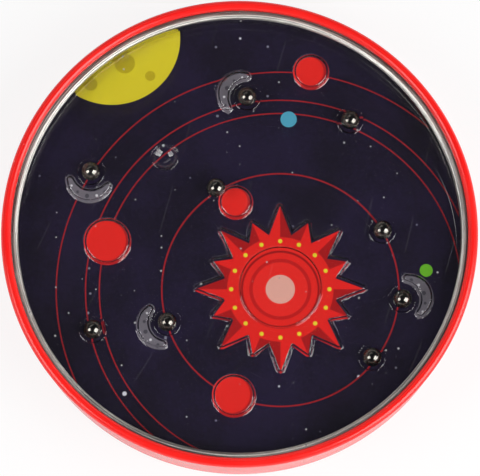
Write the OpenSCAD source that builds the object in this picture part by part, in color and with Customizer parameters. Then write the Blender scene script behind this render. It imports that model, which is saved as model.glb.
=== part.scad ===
// Hand-held dexterity puzzle: a round tin with a rolled rim and a clear window. Steel balls roll on a clear
// formed tray over a printed card, and each is tilted into a cup. The lower edge of the tin is folded under
// the base, which holds the whole stack together. The origin is on the table, under the middle of the tin.
// +X is to the right of the picture, +Y to its top, and +Z comes up out of the window.

/* [Tin case] */
// Diameter of the tin over its rolled rim
case_d = 110; // [100:1:130]
// Thickness of the painted tin sheet
tin_t = 0.3; // [0.2:0.05:0.4]
// Outside diameter of the rolled rim
bead_d = 2.3; // [1.8:0.1:3]
// Inside radius of the bend between the wall and the rim
neck_r = 0.4; // [0.3:0.05:0.6]
// How far the rim is rolled down on its inner side, in degrees below the level
rim_end = 60; // [50:5:70]
// Outside radius of the fold at the lower edge
fold_r = 0.8; // [0.6:0.1:1.2]
// Width of the lip that is folded under the base
lip_w = 2.6; // [2:0.1:6]

/* [Spacer ring] */
// Distance from the outside of the rim to the bore of the bare tin ring
ring_inset = 3.8; // [3.5:0.1:8]
// Thickness of the ring's sheet
ring_t = 0.25; // [0.2:0.05:0.4]
// Outside radius of the bends at the ring's top and foot
ring_bend_r = 0.85; // [0.6:0.05:1.2]

/* [Stack] */
// Thickness of the tin base disc
base_t = 0.3; // [0.2:0.05:0.6]
// Thickness of the grey packing board
board_t = 10; // [6:0.5:14]
// Thickness of the printed card
card_t = 0.4; // [0.2:0.05:0.8]
// Thickness of the clear window
window_t = 0.8; // [0.5:0.1:2]

/* [Balls and cups] */
// Diameter of a steel ball
ball_d = 4.5; // [4:0.1:5]
// Room over a ball that rolls on the tray floor
headroom = 0.5; // [0.2:0.1:2]
// Width of a cup at the tray floor
cup_d = 5.6; // [5:0.1:6.5]
// Depth of a cup below the tray floor
cup_depth = 1.2; // [0.8:0.1:1.6]

/* [Tray relief] */
// Thickness of the clear formed sheet
tray_t = 0.35; // [0.25:0.05:0.5]
// Height of the raised shapes over the tray floor
relief_h = 1.2; // [0.6:0.1:1.8]
// How far the side of a raised shape leans in
draft = 0.5; // [0.3:0.1:0.8]
// Diameter of the sun between its rays
sun_d = 28; // [24:1:28]
// Length of the long rays
ray_l = 6.5; // [4:0.5:7]
// Number of rays, long and short in turn
ray_count = 16; // [8:2:20]
// Diameter of the raised disc in the middle of the sun
sun_disc_d = 20; // [14:1:22]
// Height of that disc over the rays
sun_disc_h = 0.4; // [0.2:0.1:0.8]
// Outside diameter of the crescents that partly surround a cup
moon_d = 11.2; // [10.4:0.1:12]
// Free width round a cup inside a crescent
moon_bore_d = 8; // [7.6:0.1:8.6]
// How far a crescent stands off the middle of its cup
moon_shift = 1.7; // [1.4:0.1:2]
// Where the horns of a crescent are cut off, from the middle of its cup
horn_cut = 1.6; // [1.2:0.1:2.4]

/* [Fits] */
// Radial gap of the discs inside the tin
fit_gap = 0.1; // [0.05:0.05:0.3]
// Gap between the faces that the folded tin presses together
seat_gap = 0.02; // [0:0.01:0.05]
// Gap between a ball and what it lies on
ball_gap = 0.05; // [0.02:0.01:0.1]

/* [Hidden] */
$fn = 96;

red = [0.86, 0.07, 0.06];
tinplate = [0.78, 0.78, 0.76];
grey_board = [0.52, 0.50, 0.47];
navy = [0.10, 0.08, 0.16];
clear = [0.82, 0.88, 0.92, 0.35];
steel = [0.35, 0.35, 0.36];

// Radii, from the tin inwards
case_r = case_d / 2;
bead_r = bead_d / 2;
wall_r = case_r - bead_r;
disc_r = wall_r - fold_r - fit_gap;
window_r = wall_r - tin_t - fit_gap;
ring_r = case_r - ring_inset;
ball_r = ball_d / 2;

// Heights, from the table upwards
base_z = tin_t + seat_gap;
board_z = base_z + base_t + seat_gap;
card_z = board_z + board_t + seat_gap;
tray_z = card_z + card_t + seat_gap;
floor_z = tray_z + tray_t + cup_depth;
window_z = floor_z + ball_d + headroom + seat_gap;
case_h = window_z + window_t + seat_gap + bead_r * (1 + sin(rim_end));

// A cup is the low cap of a sphere
cup_r = (pow(cup_d / 2, 2) + pow(cup_depth, 2)) / (2 * cup_depth);
cup_centre_z = floor_z - cup_depth + cup_r;
cup_ball_z = floor_z - cup_depth + ball_r + ball_gap;
floor_ball_z = floor_z + ball_r + ball_gap;

// Places on the tray: share of the ring's bore radius, and angle from +X
function place(share, angle) = ring_r * share * [cos(angle), sin(angle)];
cups = [
    place(0.652, 87), place(0.741, 47), place(0.741, 156), place(0.503, 132.5), place(0.649, 2.5),
    place(0.791, 338.5), place(0.816, 317), place(0.789, 213), place(0.513, 230.5)
];
empty_cup = 4;
loose_ball = place(0.244, 116);
sun = place(0.3, 308);

// How far a bend reaches into the part of the sheet that goes on from it, in degrees
join_a = 3;

// Length of a short ray, as a share of a long one
short_ray = 0.6;

// Crescents: which cup they partly surround, and which way their thick side points
moons = [[1, 150], [3, 260], [6, 20], [9, 200]];

// Raised planets: place and radius. The first is what the loose ball leans on, away from the empty cup.
function unit(v) = v / norm(v);
planet_r = 4;
lean = planet_r - draft + sqrt(pow(ball_r, 2) - pow(ball_r + ball_gap - relief_h, 2)) + ball_gap;
planets = [
    [loose_ball - lean * unit(cups[empty_cup - 1] - loose_ball), planet_r],
    [place(0.6, 182), 5.5],
    [place(0.84, 67), 4.2],
    [place(0.73, 268), 5]
];

// A strip of sheet metal in section. The wall stands on x = 0 .. t and its foot is folded to +x. Its top bends
// out to -x, then rolls over into a tube that stands over the wall and stays open at its cut edge.
module rolled_strip(h, roll_r, t, foot_w, bend_r) {
    neck_y = h - roll_r - sqrt(pow(roll_r + neck_r, 2) - pow(neck_r, 2));
    neck_a = acos(neck_r / (roll_r + neck_r));
    translate([0, h - roll_r]) difference() {
        bent_sheet(roll_r, t);
        wedge(180 + neck_a + join_a, 360 - rim_end, 2 * roll_r);
    }
    translate([-neck_r, neck_y]) intersection() {
        bent_sheet(neck_r + t, t);
        wedge(-join_a, neck_a, 2 * (neck_r + t));
    }
    difference() {
        folded_corner(0, foot_w, neck_y, bend_r);
        folded_corner(t, foot_w, neck_y, bend_r);
    }
}

// Sheet bent to a full circle, in section
module bent_sheet(r, t) {
    difference() {
        circle(r);
        circle(r - t);
    }
}

// Slice between two angles
module wedge(start, end, reach) {
    polygon([[0, 0], reach * [cos(start), sin(start)], reach * [cos(end), sin(end)]]);
}

// A strip of sheet metal in section, with its top and its foot both turned to +x
module channel_strip(h, w, t, bend_r) {
    difference() {
        channel_space(0, h, w, bend_r);
        channel_space(t, h, w + t, bend_r);
    }
}

// The filled space inside a channel, moved in by an inset
module channel_space(inset, h, w, bend_r) {
    for (y = [bend_r, h - bend_r]) translate([bend_r, y]) circle(bend_r - inset);
    translate([inset, bend_r]) square([w - inset, h - 2 * bend_r]);
    translate([bend_r, inset]) square([w - bend_r, h - 2 * inset]);
}

// The filled space inside a fold, moved in by an inset
module folded_corner(inset, foot_w, h, bend_r) {
    translate([bend_r, bend_r]) circle(bend_r - inset);
    translate([inset, bend_r]) square([foot_w - inset, h - bend_r]);
    translate([bend_r, inset]) square([foot_w - bend_r, h - inset]);
}

// Red tin wall: rim rolled over the window, lower edge folded in under the base
module case_ring() {
    color(red) rotate_extrude()
        translate([wall_r, 0]) mirror([1, 0]) rolled_strip(case_h, bead_r, tin_t, lip_w, fold_r);
}

// Flat disc of the stack
module disc(r, z, t) {
    translate([0, 0, z]) cylinder(r = r, h = t);
}

// Tin base that the lip is folded over
module base_disc() {
    color(red) disc(disc_r, base_z, base_t);
}

// Grey board that packs the stack tight
module backing_board() {
    color(grey_board) disc(disc_r, board_z, board_t);
}

// Printed picture under the tray
module picture_card() {
    color(navy) disc(disc_r, card_z, card_t);
}

// Bare tin ring: keeps the window clear of the balls and fences the tray
module spacer_ring() {
    color(tinplate) translate([0, 0, floor_z + seat_gap]) rotate_extrude()
        translate([ring_r, 0])
            channel_strip(window_z - floor_z - 2 * seat_gap, disc_r - ring_r, ring_t, ring_bend_r);
}

// Clear window, clamped between the rolled rim and the ring
module window() {
    color(clear) disc(window_r, window_z, window_t);
}

// Raised round shape with a flat top and leaning sides, standing through the sheet at level z
module frustum(r, h, z) {
    translate([0, 0, z - tray_t]) cylinder(r1 = r, r2 = r - draft, h = tray_t + h);
}

// Round opening with leaning sides, cut right through a raised shape
module flared_bore(r) {
    translate([0, 0, floor_z - tray_t]) cylinder(r1 = r, r2 = r + 2 * draft, h = 2 * (tray_t + relief_h));
    translate([0, 0, floor_z - 2 * tray_t]) cylinder(r = r, h = 1.5 * tray_t);
}

// Star outline of the sun: long tips, short tips, and a valley between each two
module star_outline() {
    polygon([for (i = [0 : 2 * ray_count - 1])
        let (tip = i % 4 == 0 ? ray_l : i % 4 == 2 ? short_ray * ray_l : 0, a = 180 * i / ray_count)
        (sun_d / 2 + tip) * [cos(a), sin(a)]]);
}

// Sun: a raised star with leaning sides, and a disc on it
module sun_relief() {
    top_share = 1 - 2 * draft / (sun_d / 2);
    translate([0, 0, floor_z - tray_t])
        linear_extrude(height = tray_t + relief_h, scale = top_share) star_outline();
    frustum(sun_disc_d / 2, sun_disc_h, floor_z + relief_h);
}

// Crescent with blunt horns that half surrounds a cup and leaves the ball room to roll
module moon_relief(angle) {
    h = tray_t + relief_h;
    rotate(angle) difference() {
        translate([moon_shift, 0]) frustum(moon_d / 2, relief_h, floor_z);
        flared_bore(moon_bore_d / 2);
        translate([horn_cut, 0, floor_z - tray_t]) rotate([0, atan(draft / h), 0])
            translate([-moon_d, -moon_d, -h]) cube([moon_d, 2 * moon_d, 3 * h]);
    }
}

// Everything that stands up from the tray floor
module relief() {
    translate(sun) sun_relief();
    for (m = moons) translate(cups[m[0] - 1]) moon_relief(m[1]);
    for (p = planets) translate(p[0]) frustum(p[1], relief_h, floor_z);
}

// Cup wall below the floor, of sphere radius r
module cup_bowl(r) {
    intersection() {
        translate([0, 0, cup_centre_z]) sphere(r);
        translate([0, 0, floor_z - cup_depth - tray_t]) cylinder(r = cup_r, h = cup_depth + tray_t);
    }
}

// Floor of the tray with its relief, hollow underneath, and the skirt that stands on the card
module tray_sheet() {
    difference() {
        union() {
            disc(disc_r, floor_z - tray_t, tray_t);
            relief();
        }
        translate([0, 0, -tray_t]) relief();
    }
    difference() {
        disc(disc_r, tray_z, cup_depth + tray_t);
        disc(disc_r - tray_t, tray_z, cup_depth + tray_t);
    }
}

// Clear tray, formed from one sheet: floor, relief and skirt, and a cup for each ball
module play_tray() {
    color(clear) difference() {
        union() {
            tray_sheet();
            for (c = cups) translate(c) cup_bowl(cup_r + tray_t);
        }
        for (c = cups) translate([c.x, c.y, cup_centre_z]) sphere(cup_r);
    }
}

// Steel ball: the loose one lies on the floor, each of the others in the cup of its own number
module ball(i) {
    cup = cups[i - 1];
    at = i == empty_cup ? [loose_ball.x, loose_ball.y, floor_ball_z] : [cup.x, cup.y, cup_ball_z];
    color(steel) translate(at) sphere(ball_r);
}

case_ring();
base_disc();
backing_board();
picture_card();
play_tray();
spacer_ring();
window();
for (i = [1 : 9]) ball(i);
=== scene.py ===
# %% [markdown]
# # A tin dexterity puzzle
#
# The puzzle is a flat red tin with a clear window. Steel balls roll on a clear formed tray, under
# which lies a printed card, and they are tilted one by one into round cups. This lesson dresses the
# imported model: it keeps every size of the frame, and gives each piece the shape and the finish that
# the eye expects of it.
#
# The frame is loaded first. Its box is kept at once.

# %% Load the frame
import math

import bmesh
import bpy
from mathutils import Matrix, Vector


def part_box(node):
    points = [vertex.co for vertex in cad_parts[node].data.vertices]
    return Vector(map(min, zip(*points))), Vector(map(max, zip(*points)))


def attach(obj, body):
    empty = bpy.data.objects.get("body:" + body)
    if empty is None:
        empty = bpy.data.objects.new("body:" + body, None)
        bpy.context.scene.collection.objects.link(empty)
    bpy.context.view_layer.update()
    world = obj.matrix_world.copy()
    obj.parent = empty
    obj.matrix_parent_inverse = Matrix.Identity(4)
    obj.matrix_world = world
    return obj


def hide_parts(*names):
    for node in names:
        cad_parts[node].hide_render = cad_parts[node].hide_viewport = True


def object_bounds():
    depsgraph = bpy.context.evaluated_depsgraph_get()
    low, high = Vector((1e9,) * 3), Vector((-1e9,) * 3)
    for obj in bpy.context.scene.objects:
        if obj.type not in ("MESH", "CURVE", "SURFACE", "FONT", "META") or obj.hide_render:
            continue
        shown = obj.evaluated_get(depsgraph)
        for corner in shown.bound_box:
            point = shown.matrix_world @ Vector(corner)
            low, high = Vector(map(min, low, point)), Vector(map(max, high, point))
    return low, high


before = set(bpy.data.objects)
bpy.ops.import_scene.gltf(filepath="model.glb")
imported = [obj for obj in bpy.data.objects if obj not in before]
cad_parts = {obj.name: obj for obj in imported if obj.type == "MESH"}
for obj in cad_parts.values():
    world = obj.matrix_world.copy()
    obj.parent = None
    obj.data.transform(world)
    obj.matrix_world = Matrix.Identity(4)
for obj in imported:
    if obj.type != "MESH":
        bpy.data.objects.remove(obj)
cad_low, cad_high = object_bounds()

MM = 0.001
print("frame:", len(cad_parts), "nodes, box in mm", [round(x / MM, 2) for x in cad_high - cad_low])

# %% [markdown]
# Everything is placed by what the frame says. The boxes give the heights of the stack, and the
# smallest distance of the ring's points from the axis gives its bore, which the puzzle's picture
# fills. The cup that is still empty has no ball to show its place. Its place is a share of that bore
# and an angle, as on the plan.

# %% Sizes from the frame
seat_gap = 0.02 * MM
loose_ball = "ball_4"
empty_cup_share, empty_cup_angle = 0.503, 132.5


def bore_of(name):
    """Smallest distance of a node's points from the upright axis through the origin."""
    return min(v.co.xy.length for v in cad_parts[name].data.vertices)


def aim_at(degrees):
    """Unit vector of an angle on the plan."""
    return Vector((math.cos(math.radians(degrees)), math.sin(math.radians(degrees))))


def on_plan(share, degrees):
    """A place on the tray: a share of the ring's bore, and an angle from +X."""
    return aim_at(degrees) * ring_bore * share


case_low, case_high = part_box("case_ring")
base_low, base_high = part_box("base_disc")
board_low, board_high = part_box("backing_board")
card_low, card_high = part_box("picture_card")
tray_low, tray_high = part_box("play_tray")
ring_low, ring_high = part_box("spacer_ring")
window_low, window_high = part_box("window")
ring_bore = bore_of("spacer_ring")
floor_z = ring_low.z - seat_gap

ball_names = [f"ball_{number}" for number in range(1, 10)]
ball_places = {name: sum(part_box(name), Vector()) / 2 for name in ball_names}
ball_r = (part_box("ball_1")[1].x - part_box("ball_1")[0].x) / 2
cup_places = [ball_places[name].xy for name in ball_names if name != loose_ball]
cup_places.append(on_plan(empty_cup_share, empty_cup_angle))
print("bore", round(ring_bore / MM, 2), "ball", round(2 * ball_r / MM, 2), "cups", len(cup_places))

# %% [markdown]
# ## Camera
#
# The photograph looks almost straight down: the round rim is a little flatter than a circle, which
# gives the tilt, and a strip of the outer wall shows below it, which gives the distance. The lens
# then follows from the width of the rim, and the shift puts the rim where the photograph has it.

# %% Camera
image_w, image_h = 480, 476
view_tilt = math.radians(12.0)
view_distance = 800 * MM
rim_r = case_high.x
bead_r = 1.15 * MM
aim = Vector((0, 0, case_high.z - bead_r))
aim_px = Vector((239.56, 231.05))
rim_half_px = 238.57

to_camera = Vector((0, -math.sin(view_tilt), math.cos(view_tilt)))
bpy.ops.object.camera_add(location=aim + to_camera * view_distance)
camera = bpy.context.object
camera.rotation_euler = to_camera.to_track_quat("Z", "Y").to_euler()
camera.data.sensor_width = 36
camera.data.lens = camera.data.sensor_width * rim_half_px / image_w * view_distance / rim_r
camera.data.shift_x = (image_w / 2 - aim_px.x) / image_w
camera.data.shift_y = (aim_px.y - image_h / 2) / image_w
camera.data.clip_end = 20
bpy.context.scene.camera = camera
print("lens", round(camera.data.lens, 1), "mm")

# %% [markdown]
# ## Shader helpers
#
# A material is a small network. These helpers add one node, set or link its inputs, and hand back the
# output that the next node needs, so that the finishes below read from top to bottom. Colours are
# written as they look on a screen, from 0 to 255, and turned into the linear values that the renderer
# works with.

# %% Shader helpers
def ink(red, green, blue):
    """Linear colour of a screen colour, by the sRGB curve."""
    def linear(part):
        share = part / 255
        return share / 12.92 if share <= 0.04045 else ((share + 0.055) / 1.055) ** 2.4
    return (linear(red), linear(green), linear(blue), 1)


def feed(tree, socket, value):
    """Links an output to an input, or sets the input to a plain value."""
    if isinstance(value, bpy.types.NodeSocket):
        tree.links.new(value, socket)
    else:
        socket.default_value = value


def node(tree, kind, inputs=(), **settings):
    """Adds a node, with settings, and with inputs by name."""
    made = tree.nodes.new(kind)
    for name, value in settings.items():
        setattr(made, name, value)
    for name, value in dict(inputs).items():
        feed(tree, made.inputs[name], value)
    return made


def calc(tree, operation, *values, clamp=False):
    """A Math node's result."""
    made = node(tree, "ShaderNodeMath", operation=operation, use_clamp=clamp)
    for socket, value in zip(made.inputs, values):
        feed(tree, socket, value)
    return made.outputs[0]


def vector_calc(tree, operation, *values):
    """A Vector Math node's result: a number for a length, distance or dot product, else a vector."""
    made = node(tree, "ShaderNodeVectorMath", operation=operation)
    for socket, value in zip(made.inputs, values):
        feed(tree, socket, value)
    return made.outputs["Value" if operation in ("LENGTH", "DISTANCE", "DOT_PRODUCT") else "Vector"]


def axis_of(tree, vector, axis):
    """One coordinate of a vector."""
    return node(tree, "ShaderNodeSeparateXYZ", {0: vector}).outputs[axis]


def ramp(tree, value, low, high, start=0.0, end=1.0):
    """A value spread from low..high to start..end, and held there."""
    made = node(tree, "ShaderNodeMapRange", interpolation_type="SMOOTHSTEP")
    for socket, part in zip(made.inputs, (value, low, high, start, end)):
        feed(tree, socket, part)
    return made.outputs["Result"]


def blend_colour(tree, share, under, over):
    """One colour laid over another."""
    made = node(tree, "ShaderNodeMix", data_type="RGBA")
    for socket, value in zip((made.inputs[0], made.inputs[6], made.inputs[7]), (share, under, over)):
        feed(tree, socket, value)
    return made.outputs[2]


def blend_shader(tree, share, under, over):
    """One surface laid over another."""
    made = node(tree, "ShaderNodeMixShader", {0: share})
    tree.links.new(under, made.inputs[1])
    tree.links.new(over, made.inputs[2])
    return made.outputs[0]


def show_surface(tree, surface):
    """Makes a surface the one that the material shows."""
    tree.links.new(surface, tree.nodes["Material Output"].inputs["Surface"])


def add_bump(tree, shader, height, strength, depth):
    """Shapes the surface by a height."""
    bump = node(tree, "ShaderNodeBump", {"Height": height, "Strength": strength, "Distance": depth})
    feed(tree, shader.inputs["Normal"], bump.outputs[0])


def new_group(name, inputs, outputs):
    """A node group with named sockets: its tree, what comes in, and the node that takes what goes out."""
    tree = bpy.data.node_groups.new(name, "ShaderNodeTree")
    for sockets, direction in ((inputs, "INPUT"), (outputs, "OUTPUT")):
        for socket, kind in sockets.items():
            tree.interface.new_socket(socket, in_out=direction, socket_type="NodeSocket" + kind)
    return tree, tree.nodes.new("NodeGroupInput").outputs, tree.nodes.new("NodeGroupOutput").inputs


def use_group(tree, group, output, **inputs):
    """Places a group in a material, with its own values, and hands back one of its outputs."""
    made = node(tree, "ShaderNodeGroup", node_tree=group)
    for name, value in inputs.items():
        feed(tree, made.inputs[name], value)
    return made.outputs[output]


def new_material(name):
    """A material: itself, its tree, its Principled shader and the piece's own coordinates."""
    made = bpy.data.materials.new(name)
    made.use_nodes = True
    tree = made.node_tree
    place = node(tree, "ShaderNodeTexCoord").outputs["Object"]
    return made, tree, tree.nodes["Principled BSDF"], place


# %% [markdown]
# ## Studio
#
# The object lies on a plain white floor. Two soft boxes stand to the left and to the right of the
# camera: they are the two white spots that every polished ball shows. A weaker panel behind adds the
# long highlight on the far rim. Above the table the room is dark, or the window would mirror a grey
# ceiling over the picture.

# %% Floor
floor_size = 8
floor_drop = 0.05 * MM
floor_glow = 0.85

bpy.ops.object.select_all(action="DESELECT")
bpy.ops.mesh.primitive_plane_add(size=floor_size, location=(0, 0, cad_low.z - floor_drop))
floor = bpy.context.object
floor.name = "floor"
floor_paint, tree, shader, _ = new_material("white_floor")
shader.inputs["Base Color"].default_value = (0.9, 0.9, 0.9, 1)
shader.inputs["Roughness"].default_value = 0.9
shader.inputs["Specular IOR Level"].default_value = 0.1
path = node(tree, "ShaderNodeLightPath").outputs
seen = calc(tree, "ADD", path["Is Camera Ray"], path["Is Glossy Ray"])
seen = calc(tree, "ADD", seen, path["Is Transmission Ray"], clamp=True)
glow = node(tree, "ShaderNodeEmission").outputs[0]
show_surface(tree, blend_shader(tree, calc(tree, "MULTIPLY", seen, floor_glow), shader.outputs[0], glow))
floor.data.materials.append(floor_paint)
print("floor", floor_size, "m wide")

# %% Lamps and surroundings
lamp_distance = 0.7
wall_end, ceiling_start = 0.08, 0.50
wall_light, ceiling_light = (1.0, 0.99, 0.97, 1), (0.030, 0.030, 0.032, 1)


def soft_box(name, direction, width, height, brightness):
    """A rectangle of light that faces the object from a direction."""
    towards = Vector(direction).normalized()
    bpy.ops.object.light_add(type="AREA", location=aim + towards * lamp_distance)
    lamp = bpy.context.object
    lamp.name = name
    lamp.rotation_euler = towards.to_track_quat("Z", "Y").to_euler()
    lamp.data.shape = "RECTANGLE"
    lamp.data.size, lamp.data.size_y = width, height
    lamp.data.energy = brightness * math.pi * width * height


soft_box("right_box", (0.68, -0.34, 0.65), width=0.56, height=0.56, brightness=5.5)
soft_box("left_box", (-0.65, -0.24, 0.72), width=0.36, height=0.40, brightness=4.9)
soft_box("back_panel", (-0.30, 0.52, 0.80), width=0.60, height=0.16, brightness=0.8)

world = bpy.data.worlds.new("studio")
world.use_nodes = True
bpy.context.scene.world = world
tree = world.node_tree
upwards = axis_of(tree, node(tree, "ShaderNodeTexCoord").outputs["Generated"], "Z")
sky = blend_colour(tree, ramp(tree, upwards, wall_end, ceiling_start), wall_light, ceiling_light)
tree.links.new(sky, tree.nodes["Background"].inputs["Color"])
bpy.context.scene.view_settings.view_transform = "Standard"

# %% [markdown]
# ## Shared surface effects
#
# Four effects are node groups, which are built once and then placed in the materials that need them.
# *Mottle* is a slow uneven tone, *specks* are dust, flecks or stars, *hairlines* are fine straight
# scratches, and *lathe* turns coordinates into distance from the axis, angle and height, for marks that
# run round a turned piece. A mottle seldom leaves the middle of its range, so tones are spread over that
# span.

# %% Shared surface effects
mottle_span = (0.3, 0.7)
smallest_speck, speck_edge = 0.35, 0.02
bend_scale, bend_depth = 0.06, 6.0
gap_scale, gap_span = 0.7, (0.60, 0.68)


def mottle_group():
    """A soft noise."""
    tree, given, out = new_group("mottle", {"Vector": "Vector", "Scale": "Float"}, {"Value": "Float"})
    noise = node(tree, "ShaderNodeTexNoise",
                 {"Vector": given["Vector"], "Scale": given["Scale"], "Detail": 4.0})
    feed(tree, out["Value"], noise.outputs[0])
    return tree


def specks_group(name, dimensions):
    """Dots in a share of the cells of a Voronoi pattern, each of its own size."""
    inputs = {"Vector": "Vector", "Scale": "Float", "Radius": "Float", "Share": "Float"}
    tree, given, out = new_group(name, inputs, {"Mask": "Float"})
    cells = node(tree, "ShaderNodeTexVoronoi", {"Vector": given["Vector"], "Scale": given["Scale"]},
                 voronoi_dimensions=dimensions)
    draw = node(tree, "ShaderNodeSeparateColor", {0: cells.outputs["Color"]}).outputs
    chosen = calc(tree, "LESS_THAN", draw[0], given["Share"])
    size = calc(tree, "MULTIPLY", given["Radius"], calc(tree, "ADD", smallest_speck, draw[1]))
    past = calc(tree, "SUBTRACT", cells.outputs["Distance"], size)
    dot = ramp(tree, past, -speck_edge, speck_edge, 1.0, 0.0)
    feed(tree, out["Mask"], calc(tree, "MULTIPLY", dot, chosen))
    return tree


def hairlines_group():
    """Fine lines across one direction, bent a little and broken up by slow noises."""
    inputs = {"Vector": "Vector", "Scale": "Float", "Turn": "Float", "Width": "Float"}
    tree, given, out = new_group("hairlines", inputs, {"Mask": "Float"})
    spun = node(tree, "ShaderNodeVectorRotate", {"Vector": given["Vector"], "Angle": given["Turn"]},
                rotation_type="Z_AXIS").outputs[0]

    def slow_noise(share):
        """A flat noise, at a share of the scale of the lines."""
        scale = calc(tree, "MULTIPLY", given["Scale"], share)
        made = node(tree, "ShaderNodeTexNoise", {"Vector": spun, "Scale": scale, "Detail": 0.0},
                    noise_dimensions="2D")
        return made.outputs[0]

    bend = calc(tree, "MULTIPLY", slow_noise(bend_scale), bend_depth)
    wave = calc(tree, "ADD", calc(tree, "MULTIPLY", axis_of(tree, spun, "X"), given["Scale"]), bend)
    line = ramp(tree, calc(tree, "PINGPONG", wave, 0.5), 0.0, given["Width"], 1.0, 0.0)
    whole = ramp(tree, slow_noise(gap_scale), *gap_span)
    feed(tree, out["Mask"], calc(tree, "MULTIPLY", line, whole))
    return tree


def lathe_group():
    """Coordinates round the upright axis: distance, angle and height."""
    tree, given, out = new_group("lathe", {"Vector": "Vector"}, {"Vector": "Vector"})
    part = node(tree, "ShaderNodeSeparateXYZ", {0: given["Vector"]}).outputs
    away = vector_calc(tree, "LENGTH", vector_calc(tree, "MULTIPLY", given["Vector"], (1, 1, 0)))
    angle = calc(tree, "ARCTAN2", part["Y"], part["X"])
    joined = node(tree, "ShaderNodeCombineXYZ", {"X": away, "Y": angle, "Z": part["Z"]})
    feed(tree, out["Vector"], joined.outputs[0])
    return tree


mottle, hairlines, lathe = mottle_group(), hairlines_group(), lathe_group()
specks, flat_specks = specks_group("specks", "3D"), specks_group("flat_specks", "2D")
print("groups:", [g.name for g in bpy.data.node_groups])

# %% [markdown]
# ## Modelling helpers
#
# A piece starts as a primitive whose place is applied to its mesh at once, so its object stays at the
# origin. Points are then chosen by where they are, and shaped with the same tools as by hand. A
# finished piece is shaded smooth up to an angle, gets its material, and is hung on the body it rides
# on, and the frame's nodes that it stands for are hidden.

# %% Modelling helpers
round_steps = 192
smooth_angle = math.radians(32)
sharp_angle = 1.0  # radians
tiny = 0.001 * MM


def start_piece(name, add, **settings):
    """Adds a primitive as a new piece and opens it for editing."""
    bpy.ops.object.select_all(action="DESELECT")
    add(**settings)
    bpy.ops.object.transform_apply(location=True, rotation=True, scale=True)
    piece = bpy.context.object
    piece.name = piece.data.name = name
    bpy.ops.object.mode_set(mode="EDIT")
    return piece


def select_points(piece, wanted):
    """Selects the points of the piece being edited that pass a test on their place."""
    bpy.ops.mesh.select_mode(type="VERT")
    bpy.ops.mesh.select_all(action="DESELECT")
    mesh = bmesh.from_edit_mesh(piece.data)
    for point in mesh.verts:
        point.select_set(not point.hide and wanted(point.co))
    mesh.select_flush(True)
    bmesh.update_edit_mesh(piece.data)


def close_up(piece, outside):
    """Merges doubled points and turns the faces out: outside tests a face's middle and normal."""
    bpy.ops.mesh.select_all(action="SELECT")
    bpy.ops.mesh.remove_doubles(threshold=tiny)
    bpy.ops.mesh.normals_make_consistent(inside=False)
    mesh = bmesh.from_edit_mesh(piece.data)
    right = sum(1 if outside(f.calc_center_median(), f.normal) else -1 for f in mesh.faces)
    if right < 0:
        bpy.ops.mesh.flip_normals()


def bevel_sharp_edges(width, steps):
    """Bevels the sharp edges of the piece being edited."""
    bpy.ops.mesh.select_all(action="DESELECT")
    bpy.ops.mesh.edges_select_sharp(sharpness=sharp_angle)
    bpy.ops.mesh.bevel(offset=width, segments=steps)


def apply_modifier(piece, name, kind, **settings):
    """Adds a modifier to a piece and applies it."""
    modifier = piece.modifiers.new(name, kind)
    for setting, value in settings.items():
        setattr(modifier, setting, value)
    bpy.context.view_layer.objects.active = piece
    bpy.ops.object.modifier_apply(modifier=modifier.name)


def thicken(piece, thickness):
    """Ends the editing of a piece and gives its surface the thickness of a sheet, on the inside."""
    bpy.ops.object.mode_set(mode="OBJECT")
    apply_modifier(piece, "sheet", "SOLIDIFY", thickness=thickness, offset=-1, use_even_offset=True)


def finish_piece(piece, material, slot, body, *nodes):
    """Shades a piece, gives it its material, and puts it in the frame."""
    bpy.ops.object.select_all(action="DESELECT")
    piece.select_set(True)
    bpy.context.view_layer.objects.active = piece
    bpy.ops.object.shade_smooth_by_angle(angle=smooth_angle)
    piece.data.materials.clear()
    piece.data.materials.append(material)
    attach(piece, body)
    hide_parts(*nodes)
    print(piece.name, len(piece.data.polygons), "faces, stands for", ", ".join(nodes))


# %% [markdown]
# ## Rolled and folded tin
#
# The red wall is a strip of tin, folded under the base at its foot. At the top it bends out and rolls
# over into a tube that stands over the wall. It is drawn as one line in section: a circle that is cut
# open becomes the roll, and its end is spun back through the bend, pulled down to a wall, spun
# through a quarter turn for the fold and pulled on for the foot. The line is then spun round the
# axis, and a Solidify modifier gives the sheet its thickness, which keeps it equal in every bend.

# %% Rolled case
roll_points = 64
fold_steps = 8
tin_t = base_low.z - case_low.z - seat_gap
neck_r, fold_r, foot_w = 0.4 * MM, 0.8 * MM, 2.6 * MM
roll_end = math.radians(60)


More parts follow.
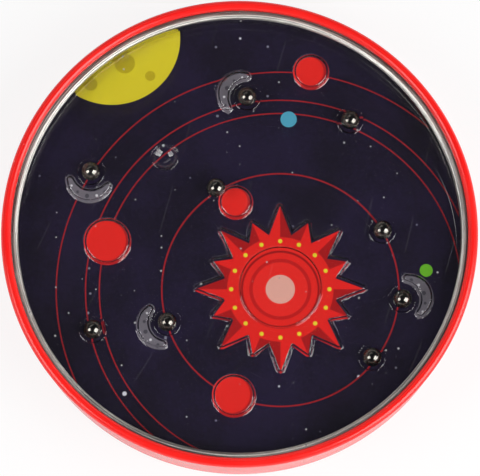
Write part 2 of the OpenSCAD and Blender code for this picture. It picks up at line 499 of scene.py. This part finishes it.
def rolled_case(name, low, high):
    """A spun strip whose roll stands over the wall, and whose foot lies inside it."""
    wall_r = rim_r - bead_r
    roll = Vector((wall_r, 0, high - bead_r))
    neck_angle = math.acos(neck_r / (bead_r + neck_r))
    neck = Vector((wall_r + neck_r, 0, roll.z - (bead_r + neck_r) * math.sin(neck_angle)))
    piece = start_piece(name, bpy.ops.mesh.primitive_circle_add, vertices=roll_points, radius=bead_r,
                        location=roll, rotation=(math.pi / 2, neck_angle, 0))
    start = roll + (neck - roll).normalized() * bead_r
    inner_x = roll.x - bead_r * math.cos(roll_end)
    select_points(piece, lambda p: p.z < roll.z and inner_x < p.x < start.x - tiny)
    bpy.ops.mesh.delete(type="VERT")
    select_points(piece, lambda p: (p - start).length < tiny)
    bpy.ops.mesh.spin(steps=fold_steps, angle=neck_angle, axis=(0, 1, 0), center=neck)
    bpy.ops.mesh.extrude_region_move(TRANSFORM_OT_translate={"value": (0, 0, low + fold_r - neck.z)})
    bpy.ops.mesh.spin(steps=fold_steps, angle=-math.pi / 2, axis=(0, 1, 0),
                      center=(wall_r - fold_r, 0, low + fold_r))
    bpy.ops.mesh.extrude_region_move(TRANSFORM_OT_translate={"value": (fold_r - foot_w, 0, 0)})
    bpy.ops.mesh.select_all(action="SELECT")
    bpy.ops.mesh.spin(steps=round_steps, angle=2 * math.pi, axis=(0, 0, 1), center=(0, 0, 0))

    def from_roll(middle, normal):
        """Whether a face looks away from the middle of the roll beside it."""
        beside = middle.xy.normalized().to_3d() * roll.x + Vector((0, 0, roll.z))
        return normal.dot(middle - beside) > 0

    close_up(piece, from_roll)
    thicken(piece, tin_t)
    return piece


case = rolled_case("tin_case", case_low.z, case_high.z)
print("tin", round(tin_t / MM, 2), "mm thick,", len(case.data.vertices), "points")

# %% [markdown]
# The bare ring inside is a channel that lies open to the wall. It starts as an open tube, its two
# edges are pulled out to flanges, and the two corners are bevelled to the bend of the sheet.

# %% Channel ring
ring_bend, ring_t = 0.85 * MM, 0.25 * MM


def channel_ring(name, low, high, bore):
    """A tube with both its edges turned outwards."""
    middle_z = (low.z + high.z) / 2
    piece = start_piece(name, bpy.ops.mesh.primitive_cylinder_add, vertices=round_steps, radius=bore,
                        depth=high.z - low.z, end_fill_type="NOTHING", location=(0, 0, middle_z))
    for level in (low.z, high.z):
        select_points(piece, lambda p: abs(p.z - level) < tiny)
        bpy.ops.mesh.select_mode(type="EDGE")
        bpy.ops.mesh.extrude_region_move()
        bpy.ops.transform.resize(value=(high.x / bore, high.x / bore, 1), center_override=(0, 0, level))
    close_up(piece, lambda middle, normal: normal.z * (middle.z - middle_z) > normal.xy.dot(middle.xy))
    bevel_sharp_edges(ring_bend, fold_steps)
    thicken(piece, ring_t)
    return piece


ring = channel_ring("tin_ring", ring_low, ring_high, ring_bore)
print("ring", len(ring.data.vertices), "points")

# %% [markdown]
# The case is stove-enamelled: an even, saturated red under a hard gloss. What keeps it from looking
# like plastic is the faint orange peel of the enamel and a little dust. The ring is bare tinplate, a
# mirror dulled by fine ridges that run round it. They lie on its worked top. Its wall is left smooth
# below the bend, so it mirrors the dark tray. The corner under the rim, where little light gets in,
# gets painted shade: its colour is darkened there.

# %% Enamel and tinplate
peel_depth, ridge_depth = 0.05 * MM, 0.25 * MM
streak_stretch = (3600.0, 1.5, 3600.0)
# Painted shade: the span of distance from the axis, under the rim, where the ring's colour is darkened
painted_shade_span, painted_shade_share = (ring_bore + 0.7 * MM, ring_bore + 1.5 * MM), 0.85
worked_span, smooth_share = (ring_high.z - 1.3 * ring_bend, ring_high.z - 0.9 * ring_bend), 0.25


def red_enamel():
    """Glossy red with a faint orange peel and a little dust."""
    made, tree, shader, place = new_material("red_enamel")
    tone = use_group(tree, mottle, "Value", Vector=place, Scale=90.0)
    paint = blend_colour(tree, ramp(tree, tone, *mottle_span), ink(244, 29, 26), ink(250, 35, 30))
    dust = use_group(tree, specks, "Mask", Vector=place, Scale=420.0, Radius=0.10, Share=0.10)
    thin_dust = calc(tree, "MULTIPLY", dust, 0.25)
    feed(tree, shader.inputs["Base Color"], blend_colour(tree, thin_dust, paint, ink(240, 190, 185)))
    feed(tree, shader.inputs["Roughness"], ramp(tree, tone, 0.25, 0.75, start=0.18, end=0.26))
    peel = use_group(tree, mottle, "Value", Vector=place, Scale=900.0)
    add_bump(tree, shader, peel, strength=0.10, depth=peel_depth)
    return made


def bare_tinplate():
    """Metal with streaks round the axis: ridged on top, smooth on the wall, painted shade in the corner.
    """
    made, tree, shader, place = new_material("bare_tinplate")
    round_axis = use_group(tree, lathe, "Vector", Vector=place)
    stretched = vector_calc(tree, "MULTIPLY", round_axis, streak_stretch)
    streak = use_group(tree, mottle, "Value", Vector=stretched, Scale=1.0)
    cloud = use_group(tree, mottle, "Value", Vector=place, Scale=220.0)
    metal = blend_colour(tree, ramp(tree, streak, 0.38, 0.58), ink(132, 130, 126), ink(228, 225, 218))
    # Painted shade: the corner under the rim, where little light gets in, is darkened in the ring's
    # colour
    corner = ramp(tree, axis_of(tree, round_axis, "X"), *painted_shade_span, start=0.0, end=painted_shade_share)
    feed(tree, shader.inputs["Base Color"], blend_colour(tree, corner, metal, ink(64, 62, 60)))
    shader.inputs["Metallic"].default_value = 1.0
    worked = ramp(tree, axis_of(tree, place, "Z"), *worked_span, start=smooth_share, end=1.0)
    rough = calc(tree, "ADD", ramp(tree, cloud, *mottle_span, start=0.34, end=0.42),
                 ramp(tree, streak, *mottle_span, start=0.0, end=0.08))
    feed(tree, shader.inputs["Roughness"], calc(tree, "MULTIPLY", rough, worked))
    ridges = calc(tree, "MULTIPLY", calc(tree, "SUBTRACT", streak, 0.5), worked)
    add_bump(tree, shader, ridges, strength=0.8, depth=ridge_depth)
    return made


enamel, tinplate = red_enamel(), bare_tinplate()
finish_piece(case, enamel, "red_enamel", "tin", "case_ring")
finish_piece(ring, tinplate, "tinplate", "tin", "spacer_ring")

# %% [markdown]
# ## Flat discs
#
# Window, card, board and base are discs punched from sheet. A disc is a filled circle, pulled up to
# its thickness, with its two rims bevelled. The flat faces are inset first: their own points then
# belong to flat faces only, so the smooth shading of the bevel can't spread over the whole face.

# %% Flat discs
window_edge, card_edge, board_edge, base_edge = 0.12 * MM, 0.05 * MM, 0.10 * MM, 0.06 * MM
edge_steps, inset_edges = 3, 4


def flat_disc(name, low, high, edge):
    """A disc between two heights, with bevelled rims."""
    piece = start_piece(name, bpy.ops.mesh.primitive_circle_add, vertices=round_steps, radius=high.x,
                        fill_type="NGON", location=(0, 0, low.z))
    bpy.ops.mesh.select_all(action="SELECT")
    bpy.ops.mesh.extrude_region_move(TRANSFORM_OT_translate={"value": (0, 0, high.z - low.z)})
    close_up(piece, lambda middle, normal: normal.z * (middle.z - (low.z + high.z) / 2) >= 0)
    bpy.ops.mesh.select_mode(type="FACE")
    for level in (low.z, high.z):
        bpy.ops.mesh.select_all(action="DESELECT")
        mesh = bmesh.from_edit_mesh(piece.data)
        for face in mesh.faces:
            face.select_set(abs(face.calc_center_median().z - level) < tiny)
        bmesh.update_edit_mesh(piece.data)
        bpy.ops.mesh.inset(thickness=inset_edges * edge)
    bpy.ops.mesh.select_mode(type="EDGE")
    bevel_sharp_edges(edge, edge_steps)
    bpy.ops.object.mode_set(mode="OBJECT")
    return piece


window = flat_disc("clear_window", window_low, window_high, window_edge)
card = flat_disc("printed_card", card_low, card_high, card_edge)
board = flat_disc("packing_board", board_low, board_high, board_edge)
base = flat_disc("tin_base", base_low, base_high, base_edge)
finish_piece(base, enamel, "red_enamel", "tin", "base_disc")

# %% [markdown]
# The packing board is grey millboard: soft, dull, with flecks of other paper in it.

# %% Millboard
fibre_depth = 0.05 * MM


def millboard():
    """Dull grey with darker flecks and a fibrous surface."""
    made, tree, shader, place = new_material("grey_millboard")
    pulp = use_group(tree, mottle, "Value", Vector=place, Scale=260.0)
    grey = blend_colour(tree, ramp(tree, pulp, *mottle_span), ink(120, 116, 108), ink(150, 145, 136))
    fleck = use_group(tree, specks, "Mask", Vector=place, Scale=700.0, Radius=0.22, Share=0.2)
    thin_fleck = calc(tree, "MULTIPLY", fleck, 0.5)
    feed(tree, shader.inputs["Base Color"], blend_colour(tree, thin_fleck, grey, ink(84, 82, 84)))
    feed(tree, shader.inputs["Roughness"], ramp(tree, pulp, *mottle_span, start=0.82, end=0.92))
    fibre = use_group(tree, mottle, "Value", Vector=place, Scale=1500.0)
    add_bump(tree, shader, fibre, strength=0.3, depth=fibre_depth)
    return made


finish_piece(board, millboard(), "grey_board", "tin", "backing_board")

# %% [markdown]
# ## Clear plastic
#
# The window and the tray are clear plastic sheet. The shader is glass with the plastic's own bend of
# light. Lamps are let straight through, by a Light Path switch to a transparent shader, and so are
# the rays that light the card: real light crosses a thin sheet almost unbent, and the picture below
# stays free of noise. Only the top of the window is handled, so it alone gets marks, as a thin dull
# layer: a little dust, a few hairlines, and one pale curved line near the right edge.

# %% Clear plastic
plastic_ior = 1.49


def clear_plastic(name, marks=None):
    """Glass-clear plastic; marks is a function that adds a mask of dull places."""
    made, tree, shader, place = new_material(name)
    shader.inputs["Base Color"].default_value = (1, 1, 1, 1)
    shader.inputs["IOR"].default_value = plastic_ior
    shader.inputs["Transmission Weight"].default_value = 1.0
    shader.inputs["Roughness"].default_value = 0.01
    surface = shader.outputs[0]
    if marks:
        film = node(tree, "ShaderNodeBsdfDiffuse", {"Color": (0.75, 0.75, 0.75, 1)}).outputs[0]
        surface = blend_shader(tree, marks(tree, place), surface, film)
    path = node(tree, "ShaderNodeLightPath").outputs
    light = calc(tree, "MAXIMUM", path["Is Shadow Ray"], path["Is Diffuse Ray"])
    through = node(tree, "ShaderNodeBsdfTransparent").outputs[0]
    show_surface(tree, blend_shader(tree, light, surface, through))
    return made


# %% Marks on the window
# One pale curved line on the window's top: a dull stroke along an arc near the right edge, fading to its
# ends
pale_arc_r, pale_arc_half_w, pale_arc_half_l = 38.6 * MM, 0.10 * MM, 12 * MM
pale_arc_place, pale_arc_turn = on_plan(0.963, 7), 14
dust_share, line_share, pale_arc_share = 0.35, 0.03, 0.35


def window_marks(tree, place):
    """Mask of the dull places on the window's upper side."""
    flat = vector_calc(tree, "MULTIPLY", place, (1, 1, 0))
    dust = use_group(tree, flat_specks, "Mask", Vector=place, Scale=330.0, Radius=0.07, Share=0.10)
    lines = use_group(tree, hairlines, "Mask", Vector=place, Scale=120.0, Turn=0.5, Width=0.02)
    middle = pale_arc_place - aim_at(pale_arc_turn) * pale_arc_r
    away = vector_calc(tree, "DISTANCE", flat, (middle.x, middle.y, 0))
    off = calc(tree, "ABSOLUTE", calc(tree, "SUBTRACT", away, pale_arc_r))
    along = vector_calc(tree, "DISTANCE", flat, (pale_arc_place.x, pale_arc_place.y, 0))
    pale_arc = calc(tree, "MULTIPLY", ramp(tree, off, 0.0, pale_arc_half_w, 1.0, 0.0),
                   ramp(tree, along, 0.0, pale_arc_half_l, 1.0, 0.0))
    shares = ((dust, dust_share), (lines, line_share), (pale_arc, pale_arc_share))
    dull = [calc(tree, "MULTIPLY", mask, share) for mask, share in shares]
    dullest = calc(tree, "MAXIMUM", calc(tree, "MAXIMUM", dull[0], dull[1]), dull[2])
    upper = calc(tree, "GREATER_THAN", axis_of(tree, place, "Z"), (window_low.z + window_high.z) / 2)
    return calc(tree, "MULTIPLY", upper, dullest)


finish_piece(window, clear_plastic("window_plastic", window_marks), "clear_window", "tin", "window")

# %% [markdown]
# ## The formed tray
#
# The tray is one clear sheet, drawn warm over a mould. Every raised shape and every cup is a face of
# that sheet, pushed up or down by a chain of insets that follows a section line: a soft foot, a steep
# wall and a soft shoulder, because a warm sheet can't take a sharp corner. A finished shape is hidden
# while the next one is made, and at the end the floor is filled in between all their edges.

# %% Section lines
soft_reach = 0.42 * MM
flat_rim = 0.50 * MM
bowl_steps = 8
cup_rim, cup_round = 0.64 * MM, 0.17 * MM
groove_start, groove_at, groove_end, groove_d = 0.60 * MM, 0.38 * MM, 0.19 * MM, 0.11 * MM


def softened(corners, reach, steps=5):
    """A section line through corners, each inner one rounded over a reach on both its sides."""
    line = [corners[0]]
    for before, corner, after in zip(corners, corners[1:], corners[2:]):
        start = corner + (before - corner).normalized() * reach
        end = corner + (after - corner).normalized() * reach
        for step in range(steps + 1):
            share = step / steps
            line.append(start.lerp(corner, share).lerp(corner.lerp(end, share), share))
    return line + [corners[-1]]


def plateau_line(height, lean, reach):
    """A raised flat: from the floor up a leaning wall. x runs inwards and y upwards."""
    return softened([Vector((-flat_rim, 0)), Vector((0, 0)), Vector((lean, height)),
                     Vector((lean + flat_rim, height))], reach)


def bowl_line(radius, depth):
    """Section of the low cap of a ball, from its edge at the floor down to near its middle."""
    ball = (radius ** 2 + depth ** 2) / (2 * depth)
    edge_angle = math.asin(radius / ball)
    line = []
    for step in range(bowl_steps + 1):
        angle = edge_angle * (1 - step / (bowl_steps + 1))
        line.append(Vector((radius - ball * math.sin(angle), ball - depth - ball * math.cos(angle))))
    return line


def cup_line(radius, depth):
    """A bowl with a rounded edge. The flat steps before it are where a groove is pressed in later."""
    bowl = bowl_line(radius, depth)
    edge = softened([Vector((-groove_end, 0)), bowl[0], bowl[1]], cup_round)
    return [Vector((-reach, 0)) for reach in (cup_rim, groove_start, groove_at)] + edge + bowl[2:]


def push_along(line):
    """Follows a section line with the selected face, by one inset for each step."""
    for here, there in zip(line, line[1:]):
        bpy.ops.mesh.inset(thickness=max(there.x - here.x, 0), depth=there.y - here.y,
                           use_even_offset=True)


def put_aside():
    """Hides a finished shape."""
    bpy.ops.mesh.select_all(action="SELECT")
    bpy.ops.mesh.hide(unselected=False)


# %% Cups and planets
tray_r, tray_t = tray_high.x, 0.35 * MM
relief_h, wall_lean = 1.2 * MM, 0.4 * MM
cup_d, cup_depth = 5.6 * MM, 1.2 * MM
cup_points, planet_points = 64, 96
planets = [(Vector((-0.86, 8.22)) * MM, 4 * MM), (on_plan(0.6, 182), 5.5 * MM),
           (on_plan(0.84, 67), 4.2 * MM), (on_plan(0.73, 268), 5 * MM)]


def add_circle(place, radius, points, level=floor_z):
    """Adds a round face to the tray."""
    bpy.ops.mesh.primitive_circle_add(vertices=points, radius=radius, fill_type="NGON",
                                      location=(place.x, place.y, level))


tray = start_piece("formed_tray", bpy.ops.mesh.primitive_circle_add, vertices=round_steps, radius=tray_r,
                   location=(0, 0, floor_z))
put_aside()
for place in cup_places:
    add_circle(place, cup_d / 2 + cup_rim, cup_points)
    push_along(cup_line(cup_d / 2, cup_depth))
    put_aside()
for place, radius in planets:
    add_circle(place, radius + flat_rim, planet_points)
    push_along(plateau_line(relief_h, wall_lean, soft_reach))
    put_aside()
print("cups", len(cup_places), "planets", len(planets))

# %% [markdown]
# The sun is a star of long and short rays, round at the tips and sharp in the valleys. A crescent is the
# part of a disc that lies outside a circle round a cup, with round horns. Both are drawn as outlines, a
# little wider than the shape on top, to leave room for the foot of its wall.

# %% Outlines of the sun and the crescents
sun_place = on_plan(0.3, 308)
sun_r, ray_l, ray_pairs, short_ray = 12.6 * MM, 6.4 * MM, 8, 0.6
sun_disc_r, sun_disc_h = 9.7 * MM, 0.4 * MM
foot_spread = wall_lean + 2 * flat_rim + 0.1 * MM
moon_r, moon_bore_r, moon_shift, horn = 5.6 * MM, 4.0 * MM, 1.7 * MM, 58
moons = [("ball_1", 150), ("ball_3", 260), ("ball_6", 20), ("ball_9", 200)]
tip_points, horn_points, bow_steps, sun_disc_points = 13, 9, 12, 128


def arc(centre, radius, first, last, points):
    """Points of an arc, angles in degrees."""
    turn = (last - first) / (points - 1)
    return [centre + aim_at(first + turn * step) * radius for step in range(points)]


def turned(point, degrees):
    """A point turned about the origin of the plan."""
    along = aim_at(degrees)
    return Vector((point.x * along.x - point.y * along.y, point.x * along.y + point.y * along.x))


def side_angle(start, end):
    """Direction that a side faces, when the inside is on its left."""
    return math.degrees(math.atan2(start.x - end.x, end.y - start.y))


def meet(normal, other, spread):
    """How far the corner between two sides moves when both move out by a spread."""
    return (normal + other) * (spread / (1 + normal.dot(other)))


def sun_outline(spread):
    """The star of the rays, spread outwards."""
    half = 180 / ray_pairs
    outline = []
    for number in range(2 * ray_pairs):
        reach, other = (ray_l, short_ray * ray_l) if number % 2 == 0 else (short_ray * ray_l, ray_l)
        tip, next_tip = Vector((sun_r + reach, 0)), aim_at(half) * (sun_r + other)
        valley = aim_at(half / 2) * sun_r
        lean, next_lean = side_angle(tip, valley), side_angle(valley, next_tip)
        shift = meet(aim_at(lean), aim_at(next_lean), spread)
        local = arc(tip, spread, -lean, lean, tip_points) + [valley + shift]
        outline += [sun_place + turned(point, number * half) for point in local]
    return outline


def moon_outline(cup, degrees, spread):
    """A crescent round a cup, spread outwards."""
    inner = moon_bore_r - spread

    def outer(swing):
        """How far the outer edge lies from the cup's middle."""
        angle = math.radians(swing)
        aside = moon_shift * math.sin(angle)
        return moon_shift * math.cos(angle) + math.sqrt((moon_r + spread) ** 2 - aside ** 2)

    horn_w = outer(horn) - inner
    swings = [horn * (step / bow_steps - 1) for step in range(2 * bow_steps + 1)]
    bow = [aim_at(swing) * outer(swing) for swing in swings]
    bend = [aim_at(-swing) * inner for swing in swings]
    ends = [arc(aim_at(side) * (inner + horn_w / 2), horn_w / 2, first, first + 180, horn_points)[1:-1]
            for side, first in ((horn, horn), (-horn, 180 - horn))]
    return [cup + turned(point, degrees) for point in bow + ends[0] + bend + ends[1]]


# %% Sun and crescents
def add_outline(points):
    """Adds a face with this outline, counterclockwise, by placing the points of a circle."""
    add_circle(Vector((0, 0)), MM, len(points))
    mesh = bmesh.from_edit_mesh(tray.data)
    face = next(f for f in mesh.faces if f.select)
    for vertex, point in zip([loop.vert for loop in face.loops], points):
        vertex.co = (point.x, point.y, floor_z)
    bmesh.update_edit_mesh(tray.data)


def select_open_edges(wanted):
    """Selects the edges of the tray that have a face on one side at most, and pass a test."""
    bpy.ops.mesh.select_mode(type="EDGE")
    bpy.ops.mesh.select_all(action="DESELECT")
    mesh = bmesh.from_edit_mesh(tray.data)
    for edge in mesh.edges:
        edge.select_set(not edge.hide and len(edge.link_faces) < 2 and wanted(edge))
    bmesh.update_edit_mesh(tray.data)


def make_sun():
    """The star, and a raised disc on it."""
    add_outline(sun_outline(foot_spread))
    push_along(plateau_line(relief_h, wall_lean, soft_reach))
    bpy.ops.mesh.delete(type="ONLY_FACE")
    top = floor_z + relief_h
    add_circle(sun_place, sun_disc_r + flat_rim, sun_disc_points, top)
    push_along(plateau_line(sun_disc_h, sun_disc_h / 2, sun_disc_h / 2))
    select_open_edges(lambda edge: edge.verts[0].co.z > top - soft_reach / 2)
    bpy.ops.mesh.fill(use_beauty=True)
    put_aside()


make_sun()
for name, degrees in moons:
    add_outline(moon_outline(ball_places[name].xy, degrees, flat_rim))
    push_along(plateau_line(relief_h, wall_lean, soft_reach))
    put_aside()
print("sun with", 2 * ray_pairs, "rays, crescents", len(moons))

# %% Floor and skirt of the tray
skirt_reach = 0.01 * MM
least_up = -0.01  # an upright face of the skirt counts as right, whichever way it looks

bpy.ops.mesh.reveal(select=False)
select_open_edges(lambda edge: True)
bpy.ops.mesh.fill(use_beauty=True)
select_points(tray, lambda p: abs(p.xy.length - tray_r) < skirt_reach)
bpy.ops.mesh.select_mode(type="EDGE")
bpy.ops.mesh.extrude_region_move(TRANSFORM_OT_translate={"value": (0, 0, tray_low.z - floor_z)})
close_up(tray, lambda middle, normal: normal.z > least_up)
thicken(tray, tray_t)
print("tray", len(tray.data.vertices), "points")

# %% [markdown]
# The mould's plugs press a fine groove into the upper side of the sheet round every cup. It is what
# draws the thin bright arcs there.

# %% Grooves round the cups
groove_r = cup_d / 2 + groove_at


def in_groove(point):
    """Whether a point lies on the sheet's upper side, on the line of a groove."""
    aways = [abs((point.xy - place).length - groove_r) for place in cup_places]
    return abs(point.z - floor_z) < tiny and min(aways) < groove_d / 4


bpy.ops.object.mode_set(mode="EDIT")
select_points(tray, in_groove)
bpy.ops.transform.translate(value=(0, 0, -groove_d))
print("groove points", tray.data.total_vert_sel)
bpy.ops.object.mode_set(mode="OBJECT")
finish_piece(tray, clear_plastic("tray_plastic"), "clear_tray", "tin", "play_tray")

# %% [markdown]
# ## The balls
#
# A bearing ball is a mirror, so its mesh has to be even: a cube that is subdivided and cast to a
# sphere has no poles. It is modelled once, and every ball is a copy with its own mesh at its own
# place.

# %% Steel balls
ball_cuts = 15


def polished_steel():
    """A slightly clouded dark mirror."""
    made, tree, shader, place = new_material("polished_steel")
    tone = use_group(tree, mottle, "Value", Vector=place, Scale=500.0)
    metal = blend_colour(tree, ramp(tree, tone, *mottle_span), ink(112, 109, 104), ink(128, 125, 120))
    feed(tree, shader.inputs["Base Color"], metal)
    shader.inputs["Metallic"].default_value = 1.0
    feed(tree, shader.inputs["Roughness"], ramp(tree, tone, *mottle_span, start=0.03, end=0.07))
    return made


steel = polished_steel()
model = start_piece("ball_model", bpy.ops.mesh.primitive_cube_add, size=2 * ball_r)
bpy.ops.mesh.subdivide(number_cuts=ball_cuts)
bpy.ops.object.mode_set(mode="OBJECT")
apply_modifier(model, "round", "CAST", cast_type="SPHERE", factor=1.0, use_radius_as_size=False, radius=0,
               size=ball_r)
for name in ball_names:
    ball = bpy.data.objects.new(f"steel_{name}", model.data.copy())
    bpy.context.scene.collection.objects.link(ball)
    bpy.ops.object.select_all(action="DESELECT")
    ball.select_set(True)
    bpy.context.view_layer.objects.active = ball
    ball.location = ball_places[name]
    bpy.ops.object.transform_apply(location=True, rotation=True, scale=True)
    finish_piece(ball, steel, "ball_steel", name, name)
bpy.data.objects.remove(model)

# %% [markdown]
# ## The printed card
#
# The picture is a night sky: a red sun with its rays, orbits that lead past the cups, grey crescents
# that hold some of them, and small planets. It is printed in flat inks, so the material is a stack of
# masks on the card's own coordinates, one laid over the other as inks are.

# %% Print masks
print_edge = 0.05 * MM
horn_cut = 1.8 * MM


def inside(tree, past):
    """Mask of the places that don't lie past an edge."""
    return ramp(tree, past, -print_edge, print_edge, 1.0, 0.0)


def disc_group():
    """A filled disc."""
    inputs = {"Vector": "Vector", "Centre": "Vector", "Radius": "Float"}
    tree, given, out = new_group("print_disc", inputs, {"Mask": "Float"})
    flat = vector_calc(tree, "MULTIPLY", given["Vector"], (1, 1, 0))
    away = vector_calc(tree, "DISTANCE", flat, given["Centre"])
    feed(tree, out["Mask"], inside(tree, calc(tree, "SUBTRACT", away, given["Radius"])))
    return tree


disc_mask = disc_group()


def disc(tree, place, centre, radius):
    """Mask of a disc."""
    return use_group(tree, disc_mask, "Mask", Vector=place, Centre=(centre.x, centre.y, 0), Radius=radius)


def ring_line(tree, place, centre, radius, width):
    """Mask of a circle drawn with a line."""
    return calc(tree, "SUBTRACT", disc(tree, place, centre, radius + width / 2),
                disc(tree, place, centre, radius - width / 2))


def crescent(tree, place, cup, degrees, trim):
    """Mask of a crescent. The printed one lies a trim inside the raised one."""
    towards = aim_at(degrees)
    whole = disc(tree, place, cup + towards * moon_shift, moon_r - trim)
    hole = disc(tree, place, cup, moon_bore_r + trim)
    from_cup = vector_calc(tree, "SUBTRACT", place, (cup.x, cup.y, 0))
    side = vector_calc(tree, "DOT_PRODUCT", from_cup, (towards.x, towards.y, 0))
    front = ramp(tree, side, horn_cut, horn_cut + 2 * print_edge)
    return calc(tree, "MULTIPLY", calc(tree, "MULTIPLY", whole, calc(tree, "SUBTRACT", 1.0, hole)), front)


def sun_rays(tree, place, spread):
    """Masks of the rays and of their lit halves."""
    from_sun = vector_calc(tree, "SUBTRACT", place, (sun_place.x, sun_place.y, 0))
    away = vector_calc(tree, "LENGTH", vector_calc(tree, "MULTIPLY", from_sun, (1, 1, 0)))
    angle = calc(tree, "ARCTAN2", axis_of(tree, from_sun, "Y"), axis_of(tree, from_sun, "X"))
    half = math.pi / ray_pairs
    valley = Vector((math.cos(half / 2), math.sin(half / 2))) * sun_r
    folded = calc(tree, "PINGPONG", angle, half)
    masks = []
    for swing, length in ((folded, ray_l), (calc(tree, "SUBTRACT", half, folded), short_ray * ray_l)):
        tip = Vector((sun_r + length, 0))
        along = (valley - tip).normalized()
        normal = Vector((along.y, -along.x))
        across = calc(tree, "ADD", calc(tree, "MULTIPLY", calc(tree, "COSINE", swing), normal.x),
                      calc(tree, "MULTIPLY", calc(tree, "SINE", swing), normal.y))
        past = calc(tree, "SUBTRACT", calc(tree, "MULTIPLY", across, away), normal.dot(tip) + spread)
        masks.append(inside(tree, past))
    lit = calc(tree, "LESS_THAN", calc(tree, "FLOORED_MODULO", angle, 2 * half), half)
    return calc(tree, "MAXIMUM", *masks), lit


print("print group:", disc_mask.name)

# %% [markdown]
# The design is a few values and short lists: where a shape lies, how large it is and which ink it has.
# The lists hold their sizes in millimetres.

# %% The design
print_trim = 0.25 * MM
night_dark, night_light, tone_share = ink(21, 16, 30), ink(31, 24, 48), 0.65
star_sets, star_size = ((170.0, 0.16, ink(120, 120, 134)), (110.0, 0.10, ink(214, 216, 224))), 0.04
orbits, orbit_ink = ((27.5, 0.35), (42, 0.3), (45.2, 0.3), (52, 0.3)), ink(150, 30, 36)
giant_place, giant_r, giant_ink = Vector((-30, 48)) * MM, 16 * MM, ink(210, 196, 42)
craters, crater_ink = (((3, -6), 2.4), ((9, -9), 1.2), ((-5, -11), 1.6)), ink(178, 162, 30)
ray_dark, ray_light, sun_ink = ink(160, 22, 24), ink(222, 34, 30), ink(222, 36, 30)
sun_line_r, sun_line_w, sun_line_ink = 8.9 * MM, 0.5 * MM, ink(150, 20, 22)
sun_discs = ((7.2, ink(186, 26, 26)), (6.4, ink(226, 40, 34)), (3.4, ink(222, 164, 150)))
sun_dot_reach, sun_dot_r, sun_dot_ink = 11.4 * MM, 0.5 * MM, ink(220, 202, 46)
moon_ink, pale_dot_ink, dark_dot_ink = ink(106, 102, 110), ink(206, 204, 210), ink(70, 68, 76)
moon_dots, moon_dot_reach = ((-48, 0.26), (-26, 0.36), (0, 0.5), (24, 0.3), (46, 0.4)), 5.4 * MM
pale_dot_limit = 0.35
planet_shade, planet_ink, planet_shift = ink(164, 24, 26), ink(224, 38, 32), Vector((-0.5, 0.5)) * MM
far_planets = ((on_plan(0.60, 68), 1.9, ink(78, 160, 186)), (on_plan(0.86, 350), 1.5, ink(108, 186, 44)))
print("orbits", len(orbits), "far planets", len(far_planets))


# %% The print
def printed_sky():
    """The inks of the design, laid on an uneven night blue from the back to the front."""
    made, tree, shader, place = new_material("printed_sky")
    tone = use_group(tree, mottle, "Value", Vector=place, Scale=70.0)
    grain = use_group(tree, mottle, "Value", Vector=place, Scale=1300.0)
    uneven = calc(tree, "ADD", calc(tree, "MULTIPLY", tone, tone_share),
                  calc(tree, "MULTIPLY", grain, 1 - tone_share))
    colour = blend_colour(tree, ramp(tree, uneven, 0.35, 0.65), night_dark, night_light)

    def lay(mask, paint):
        """Lays an ink over what is printed so far."""
        nonlocal colour
        colour = blend_colour(tree, mask, colour, paint)

    def lay_disc(centre, radius, paint):
        """Lays a disc of ink."""
        lay(disc(tree, place, centre, radius), paint)

    for scale, share, paint in star_sets:
        stars = use_group(tree, flat_specks, "Mask", Vector=place, Scale=scale, Radius=star_size,
                          Share=share)
        lay(stars, paint)
    for radius, width in orbits:
        lay(ring_line(tree, place, sun_place, radius * MM, width * MM), orbit_ink)
    lay_disc(giant_place, giant_r, giant_ink)
    for spot, radius in craters:
        lay_disc(giant_place + Vector(spot) * MM, radius * MM, crater_ink)
    rays, lit = sun_rays(tree, place, print_trim)
    lay(rays, blend_colour(tree, lit, ray_dark, ray_light))
    lay_disc(sun_place, sun_r - print_trim, sun_ink)
    lay(ring_line(tree, place, sun_place, sun_line_r, sun_line_w), sun_line_ink)
    for radius, paint in sun_discs:
        lay_disc(sun_place, radius * MM, paint)
    for number in range(2 * ray_pairs):
        spot = sun_place + aim_at(180 / ray_pairs * number) * sun_dot_reach
        lay_disc(spot, sun_dot_r, sun_dot_ink)
    for name, degrees in moons:
        cup = ball_places[name].xy
        lay(crescent(tree, place, cup, degrees, print_trim), moon_ink)
        for step, size in moon_dots:
            spot = cup + aim_at(degrees + step) * moon_dot_reach
            lay_disc(spot, size * MM, pale_dot_ink if size < pale_dot_limit else dark_dot_ink)
    for centre, radius in planets:
        lay_disc(centre, radius - print_trim, planet_shade)
        lay_disc(centre + planet_shift, radius - 3 * print_trim, planet_ink)
    for centre, radius, paint in far_planets:
        lay_disc(centre, radius * MM, paint)
    feed(tree, shader.inputs["Base Color"], colour)
    shader.inputs["Roughness"].default_value = 0.22
    shader.inputs["Specular IOR Level"].default_value = 0.3
    return made


finish_piece(card, printed_sky(), "printed_card", "tin", "picture_card")
